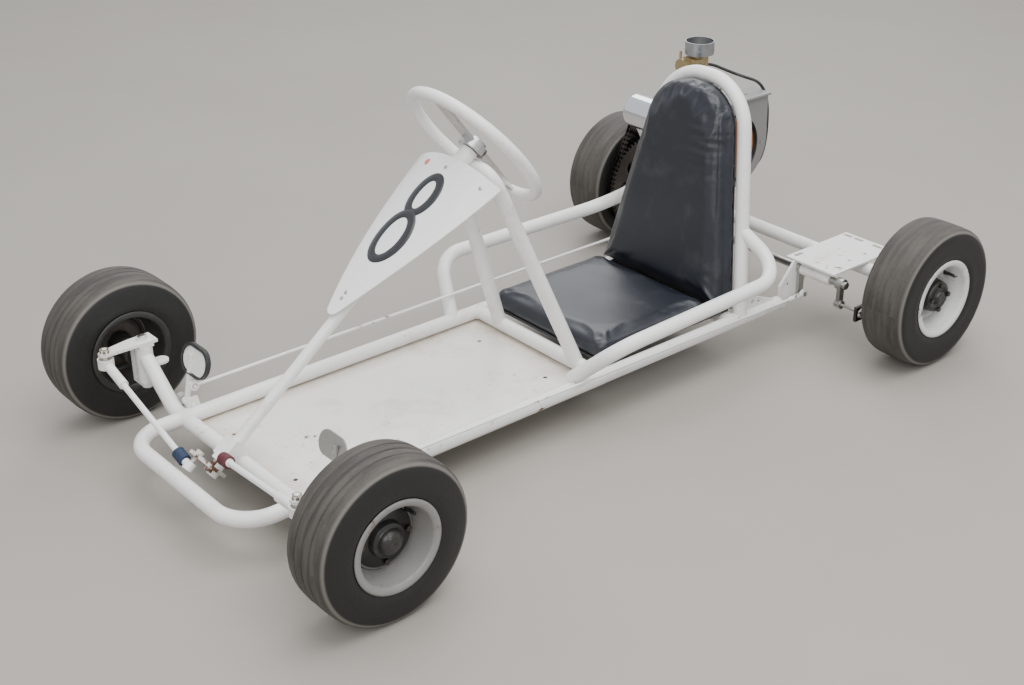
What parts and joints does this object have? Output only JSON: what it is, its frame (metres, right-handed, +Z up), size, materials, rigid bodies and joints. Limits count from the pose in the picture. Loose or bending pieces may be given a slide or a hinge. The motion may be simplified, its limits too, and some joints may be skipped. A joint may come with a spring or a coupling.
{
  "type": "kart chassis",
  "caption": "Vintage tube-frame racing kart with bent-tube frame, vinyl seat, steering linkage, two pedals, side engine and small pneumatic wheels.",
  "frame": {"origin": "on the floor under the centre of the overall box", "axes": "+X the driver's left, front of the kart towards -Y, +Z up"},
  "size_m": [0.865, 1.4599, 0.583],
  "materials": {
    "frame_paint": "aged satin off-white paint",
    "floor_paint": "worn off-white paint with rust staining",
    "panel_paint": "gloss white paint",
    "zinc_steel": "dull zinc plate",
    "boot_maroon": "maroon rubber",
    "boot_blue": "blue rubber",
    "black_rubber": "black rubber",
    "board_black": "black painted board",
    "seat_vinyl": "dark blue-black vinyl",
    "dark_steel": "oily dark steel",
    "cast_grey": "cast engine metal",
    "shroud_grey": "grey painted sheet",
    "carb_metal": "tarnished cast metal",
    "cup_aluminium": "spun aluminium",
    "polished_aluminium": "polished aluminium",
    "rusty_iron": "rust-coloured iron",
    "tyre": "worn grey-brown rubber",
    "rim_paint": "dirty white paint",
    "rim_black": "black paint",
    "hub_black": "greasy black paint"
  },
  "bodies": {
    "chassis": {"front_axle_beam": "frame_paint", "left_main_rail": "frame_paint", "right_main_rail": "frame_paint", "front_bumper": "frame_paint", "cross_tubes": "frame_paint", "floor_pan": "floor_paint", "seat_hoop": "frame_paint", "left_side_bar": "frame_paint", "right_side_bar": "frame_paint", "rail_brackets": "frame_paint", "rear_axle": "frame_paint", "left_engine_plate": "frame_paint", "right_engine_plate": "frame_paint", "steering_support": "frame_paint", "number_panel": "panel_paint", "kingpin_bolts": "zinc_steel", "seat_boards": "board_black", "seat_back_pad": "seat_vinyl", "seat_base_pad": "seat_vinyl", "brake_band": "dark_steel", "throttle_cable": "black_rubber", "engine_crankcase": "cast_grey", "engine_cylinder": "cast_grey", "blower_housing": "shroud_grey", "drive_chain": "dark_steel", "carburettor": "carb_metal", "air_cup": "cup_aluminium", "exhaust_can": "polished_aluminium", "ignition_lead": "black_rubber"},
    "steering_column": {"steering_shaft": "frame_paint", "steering_ring": "frame_paint", "steering_spoke": "zinc_steel", "pitman_plate": "zinc_steel"},
    "left_knuckle": {"left_knuckle": "frame_paint"},
    "right_knuckle": {"right_knuckle": "frame_paint"},
    "left_tie_rod": {"left_tie_rod": "frame_paint", "left_tie_rod_boot": "boot_maroon"},
    "right_tie_rod": {"right_tie_rod": "frame_paint", "right_tie_rod_boot": "boot_blue"},
    "front_left_wheel": {"front_left_tyre": "tyre", "front_left_rim": "rim_paint", "front_left_hub": "hub_black"},
    "front_right_wheel": {"front_right_tyre": "tyre", "front_right_rim": "rim_black", "front_right_hub": "hub_black"},
    "rear_left_wheel": {"rear_left_tyre": "tyre", "rear_left_rim": "rim_paint", "rear_left_hub": "hub_black"},
    "rear_right_wheel": {"rear_right_tyre": "tyre", "rear_right_rim": "rim_paint", "rear_right_hub": "hub_black", "rear_sprocket": "dark_steel"},
    "brake_pedal": {"brake_pedal": "zinc_steel"},
    "brake_rod": {"brake_rod": "zinc_steel"},
    "brake_shaft": {"brake_shaft": "zinc_steel"},
    "throttle_pedal": {"throttle_pedal": "zinc_steel", "throttle_pedal_rubber": "black_rubber"},
    "throttle_rod": {"throttle_rod": "frame_paint"},
    "flywheel": {"flywheel": "rusty_iron"},
    "clutch_drum": {"clutch_drum": "dark_steel"}
  },
  "joints": [
    {"name": "steering_turn", "type": "hinge", "parent": "chassis", "child": "steering_column", "pos_m": [0, -0.12515, 0.4748], "axis": [0, 0.788, 0.6157], "range_deg": [-30, 30]},
    {"name": "left_knuckle_turn", "type": "hinge", "parent": "chassis", "child": "left_knuckle", "pos_m": [0.289, -0.602, 0.128], "axis": [0, 0, 1], "range_deg": [-11.6, 11.6]},
    {"name": "right_knuckle_turn", "type": "hinge", "parent": "chassis", "child": "right_knuckle", "pos_m": [-0.289, -0.602, 0.128], "axis": [0, 0, 1], "range_deg": [-11.6, 11.6]},
    {"name": "left_tie_rod_turn", "type": "hinge", "parent": "steering_column", "child": "left_tie_rod", "pos_m": [0.02, -0.64514, 0.10407], "axis": [0, 0.788, 0.6157], "range_deg": [-32.4, 32.4]},
    {"name": "right_tie_rod_turn", "type": "hinge", "parent": "steering_column", "child": "right_tie_rod", "pos_m": [-0.02, -0.67666, 0.07945], "axis": [0, 0.788, 0.6157], "range_deg": [-32.4, 32.4]},
    {"name": "front_left_spin", "type": "hinge", "parent": "left_knuckle", "child": "front_left_wheel", "pos_m": [0.377, -0.602, 0.128], "axis": [1, 0, 0], "continuous": true},
    {"name": "front_right_spin", "type": "hinge", "parent": "right_knuckle", "child": "front_right_wheel", "pos_m": [-0.377, -0.602, 0.128], "axis": [1, 0, 0], "continuous": true},
    {"name": "rear_left_spin", "type": "hinge", "parent": "chassis", "child": "rear_left_wheel", "pos_m": [0.3885, 0.599, 0.131], "axis": [1, 0, 0], "continuous": true},
    {"name": "rear_right_spin", "type": "hinge", "parent": "chassis", "child": "rear_right_wheel", "pos_m": [-0.3885, 0.599, 0.131], "axis": [1, 0, 0], "continuous": true},
    {"name": "clutch_spin", "type": "hinge", "parent": "chassis", "child": "clutch_drum", "pos_m": [-0.3, 0.577, 0.276], "axis": [1, 0, 0], "continuous": true},
    {"name": "crank_spin", "type": "hinge", "parent": "chassis", "child": "flywheel", "pos_m": [-0.088, 0.577, 0.276], "axis": [1, 0, 0], "continuous": true},
    {"name": "brake_pedal_press", "type": "hinge", "parent": "chassis", "child": "brake_pedal", "pos_m": [0.187, -0.565, 0.062], "axis": [1, 0, 0], "range_deg": [0, 12], "stiffness_Nm_per_rad": 2, "springref_deg": -5.73},
    {"name": "brake_rod_pull", "type": "slide", "parent": "chassis", "child": "brake_rod", "axis": [0, -1, 0], "range_m": [0, 0.0072]},
    {"name": "brake_shaft_turn", "type": "hinge", "parent": "chassis", "child": "brake_shaft", "pos_m": [0, 0.511, 0.13], "axis": [1, 0, 0], "range_deg": [-8.2, 0]},
    {"name": "throttle_pedal_press", "type": "hinge", "parent": "chassis", "child": "throttle_pedal", "pos_m": [-0.187, -0.58, 0.084], "axis": [1, 0, 0], "range_deg": [0, 15], "stiffness_Nm_per_rad": 2, "springref_deg": -5.73},
    {"name": "throttle_rod_pull", "type": "slide", "parent": "chassis", "child": "throttle_rod", "axis": [0, -1, 0], "range_m": [0, 0.0088]}
  ],
  "couplings": [
    {"joint": "left_knuckle_turn", "follows": "steering_turn", "ratio": 0.384},
    {"joint": "right_knuckle_turn", "follows": "steering_turn", "ratio": 0.384},
    {"joint": "left_tie_rod_turn", "follows": "steering_turn", "ratio": -1.0755},
    {"joint": "right_tie_rod_turn", "follows": "steering_turn", "ratio": -1.0755},
    {"joint": "clutch_spin", "follows": "rear_right_spin", "ratio": 5.8182},
    {"joint": "brake_rod_pull", "follows": "brake_pedal_press", "m_per_rad": 0.033},
    {"joint": "brake_shaft_turn", "follows": "brake_pedal_press", "ratio": -0.66},
    {"joint": "throttle_rod_pull", "follows": "throttle_pedal_press", "m_per_rad": 0.033}
  ]
}
